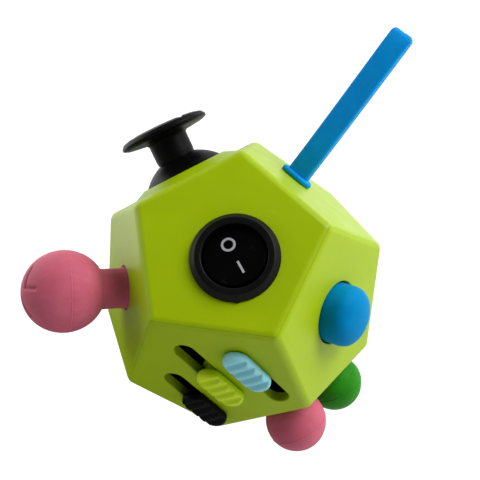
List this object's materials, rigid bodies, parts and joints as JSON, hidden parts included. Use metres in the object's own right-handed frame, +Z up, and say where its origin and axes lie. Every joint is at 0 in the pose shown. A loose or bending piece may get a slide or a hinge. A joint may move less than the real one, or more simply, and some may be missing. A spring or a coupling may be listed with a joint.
{
  "type": "twelve-sided fidget toy",
  "caption": "Twelve-sided desk fidget toy with a rocker switch, joystick, sliders, wheels, dial, click buttons, steel ball, strap and soft squeeze balls.",
  "frame": {"origin": "centre of the flat face that the toy rests on", "axes": "+Z up through the face with the rocker switch; -Y towards the face with the three sliders"},
  "size_m": [0.0694, 0.0802, 0.0532],
  "materials": {
    "green_case": "satin moulded ABS with eased edges",
    "black_switch": "fine moulded texture on the bezel, gloss on the rocker",
    "switch_print": "pad-printed marks",
    "spring_steel": "bright wire",
    "black_stick": "satin moulded",
    "grey_plastic": "moulded",
    "white_plastic": "moulded",
    "pink_silicone": "matte silicone with a fine mould line",
    "green_silicone": "matte silicone",
    "blue_silicone": "matte silicone",
    "light_blue_plastic": "satin moulded",
    "lime_plastic": "satin moulded",
    "black_plastic": "satin moulded",
    "blue_plastic": "satin moulded",
    "yellow_plastic": "satin moulded",
    "orange_plastic": "satin moulded",
    "mid_green_plastic": "satin moulded",
    "polished_steel": "polished ball",
    "steel_screw": "zinc plated"
  },
  "bodies": {
    "case": {"upper_shell": "green_case", "lower_shell": "green_case", "rocker_housing": "black_switch", "rocker_leaf_spring": "spring_steel", "joystick_cup": "grey_plastic", "joystick_spring": "spring_steel", "pull_ball_root": "pink_silicone", "slider_backplate": "black_plastic", "slider_screws": "steel_screw", "press_button_guide": "white_plastic", "press_button_spring": "spring_steel", "strap_root": "blue_silicone", "squeeze_root_pink": "pink_silicone", "squeeze_root_green": "green_silicone", "squeeze_root_blue": "blue_silicone", "wheel_axle": "spring_steel", "wheel_brackets": "white_plastic", "click_spring_1": "spring_steel", "click_spring_2": "spring_steel", "click_spring_3": "spring_steel", "click_spring_4": "spring_steel", "click_spring_5": "spring_steel", "click_plate": "white_plastic", "steel_ball_socket": "white_plastic"},
    "rocker": {"rocker_button": "black_switch", "rocker_marks": "switch_print"},
    "gimbal": {"joystick_gimbal_ring": "white_plastic"},
    "stick": {"joystick_dome": "black_stick", "thumb_cap": "black_stick"},
    "pull_ball": {"pull_ball": "pink_silicone"},
    "slider_blue": {"slider_blue": "light_blue_plastic"},
    "slider_yellow": {"slider_yellow": "lime_plastic"},
    "slider_black": {"slider_black": "black_plastic"},
    "press_button": {"press_button": "blue_silicone"},
    "strap": {"strap": "blue_silicone"},
    "squeeze_ball_pink": {"squeeze_ball_pink": "pink_silicone"},
    "squeeze_ball_green": {"squeeze_ball_green": "green_silicone"},
    "squeeze_ball_blue": {"squeeze_ball_blue": "blue_silicone"},
    "dial": {"dial": "blue_plastic", "dial_clip": "spring_steel"},
    "wheel_left": {"wheel_left": "yellow_plastic"},
    "wheel_middle": {"wheel_middle": "orange_plastic"},
    "wheel_right": {"wheel_right": "blue_plastic"},
    "click_button_1": {"click_button_1": "black_plastic"},
    "click_button_2": {"click_button_2": "yellow_plastic"},
    "click_button_3": {"click_button_3": "orange_plastic"},
    "click_button_4": {"click_button_4": "blue_plastic"},
    "click_button_5": {"click_button_5": "mid_green_plastic"},
    "steel_ball": {"steel_ball": "polished_steel"}
  },
  "joints": [
    {"name": "rocker_tilt", "type": "hinge", "parent": "case", "child": "rocker", "pos_m": [0.00197, -0.00203, 0.049], "axis": [0.809, 0.5878, 0], "range_deg": [0, 14]},
    {"name": "stick_tilt_1", "type": "hinge", "parent": "case", "child": "gimbal", "pos_m": [-0.00951, 0.01377, 0.03336], "axis": [-0.2629, 0.3618, -0.8944], "range_deg": [-15, 15], "stiffness_Nm_per_rad": 0.06},
    {"name": "stick_tilt_2", "type": "hinge", "parent": "gimbal", "child": "stick", "pos_m": [-0.00951, 0.01377, 0.03336], "axis": [-0.809, -0.5878, 0], "range_deg": [-15, 15], "stiffness_Nm_per_rad": 0.06, "deforming": ["joystick_spring"]},
    {"name": "pull_ball_bend", "type": "hinge", "parent": "case", "child": "pull_ball", "pos_m": [-0.02102, -0.00709, 0.03609], "axis": [0.309, -0.9511, 0], "range_deg": [-20, 20], "stiffness_Nm_per_rad": 0.05},
    {"name": "slide_blue", "type": "slide", "parent": "case", "child": "slider_blue", "axis": [0.5878, -0.3618, -0.7236], "range_m": [0, 0.0076]},
    {"name": "slide_yellow", "type": "slide", "parent": "case", "child": "slider_yellow", "axis": [-0.5878, 0.3618, 0.7236], "range_m": [0, 0.0089]},
    {"name": "slide_black", "type": "slide", "parent": "case", "child": "slider_black", "axis": [-0.5878, 0.3618, 0.7236], "range_m": [0, 0.0076]},
    {"name": "press_button_travel", "type": "slide", "parent": "case", "child": "press_button", "axis": [-0.8507, 0.2764, -0.4472], "range_m": [0, 0.0024], "stiffness_N_per_m": 350, "deforming": ["press_button_spring"]},
    {"name": "strap_bend", "type": "hinge", "parent": "case", "child": "strap", "pos_m": [0.01086, 0.02141, 0.03707], "axis": [-0.809, 0.5878, 0], "range_deg": [-40, 40], "stiffness_Nm_per_rad": 0.02},
    {"name": "squeeze_pink_bend", "type": "hinge", "parent": "case", "child": "squeeze_ball_pink", "pos_m": [0.01265, -0.0226, 0.02165], "axis": [-0.8447, -0.3818, -0.3752], "range_deg": [-4, 9], "stiffness_Nm_per_rad": 0.04},
    {"name": "squeeze_green_bend", "type": "hinge", "parent": "case", "child": "squeeze_ball_green", "pos_m": [0.01996, -0.01292, 0.01458], "axis": [0.3815, -0.2693, 0.8843], "range_deg": [-4, 9], "stiffness_Nm_per_rad": 0.04},
    {"name": "squeeze_blue_bend", "type": "hinge", "parent": "case", "child": "squeeze_ball_blue", "pos_m": [0.00968, -0.01673, 0.00868], "axis": [0.7198, 0.6586, -0.2195], "range_deg": [-4, 7], "stiffness_Nm_per_rad": 0.04},
    {"name": "dial_turn", "type": "hinge", "parent": "case", "child": "dial", "pos_m": [-0.02127, 0.00691, 0.01382], "axis": [-0.8507, 0.2764, -0.4472], "continuous": true},
    {"name": "wheel_left_spin", "type": "hinge", "parent": "case", "child": "wheel_left", "pos_m": [-0.0153, -0.01255, 0.01543], "axis": [0.809, -0.5878, 0], "continuous": true},
    {"name": "wheel_middle_spin", "type": "hinge", "parent": "case", "child": "wheel_middle", "pos_m": [-0.01125, -0.01549, 0.01543], "axis": [0.809, -0.5878, 0], "continuous": true},
    {"name": "wheel_right_spin", "type": "hinge", "parent": "case", "child": "wheel_right", "pos_m": [-0.00721, -0.01842, 0.01543], "axis": [0.809, -0.5878, 0], "continuous": true},
    {"name": "click_1", "type": "slide", "parent": "case", "child": "click_button_1", "axis": [-0.8507, -0.2764, 0.4472], "range_m": [0, 0.0012], "stiffness_N_per_m": 400, "deforming": ["click_spring_1"]},
    {"name": "click_2", "type": "slide", "parent": "case", "child": "click_button_2", "axis": [-0.8507, -0.2764, 0.4472], "range_m": [0, 0.0012], "stiffness_N_per_m": 400, "deforming": ["click_spring_2"]},
    {"name": "click_3", "type": "slide", "parent": "case", "child": "click_button_3", "axis": [-0.8507, -0.2764, 0.4472], "range_m": [0, 0.0012], "stiffness_N_per_m": 400, "deforming": ["click_spring_3"]},
    {"name": "click_4", "type": "slide", "parent": "case", "child": "click_button_4", "axis": [-0.8507, -0.2764, 0.4472], "range_m": [0, 0.0012], "stiffness_N_per_m": 400, "deforming": ["click_spring_4"]},
    {"name": "click_5", "type": "slide", "parent": "case", "child": "click_button_5", "axis": [-0.8507, -0.2764, 0.4472], "range_m": [0, 0.0012], "stiffness_N_per_m": 400, "deforming": ["click_spring_5"]},
    {"name": "steel_ball_spin", "type": "hinge", "parent": "case", "child": "steel_ball", "pos_m": [0, 0.01968, 0.01516], "axis": [0, -0.4472, -0.8944], "continuous": true}
  ]
}
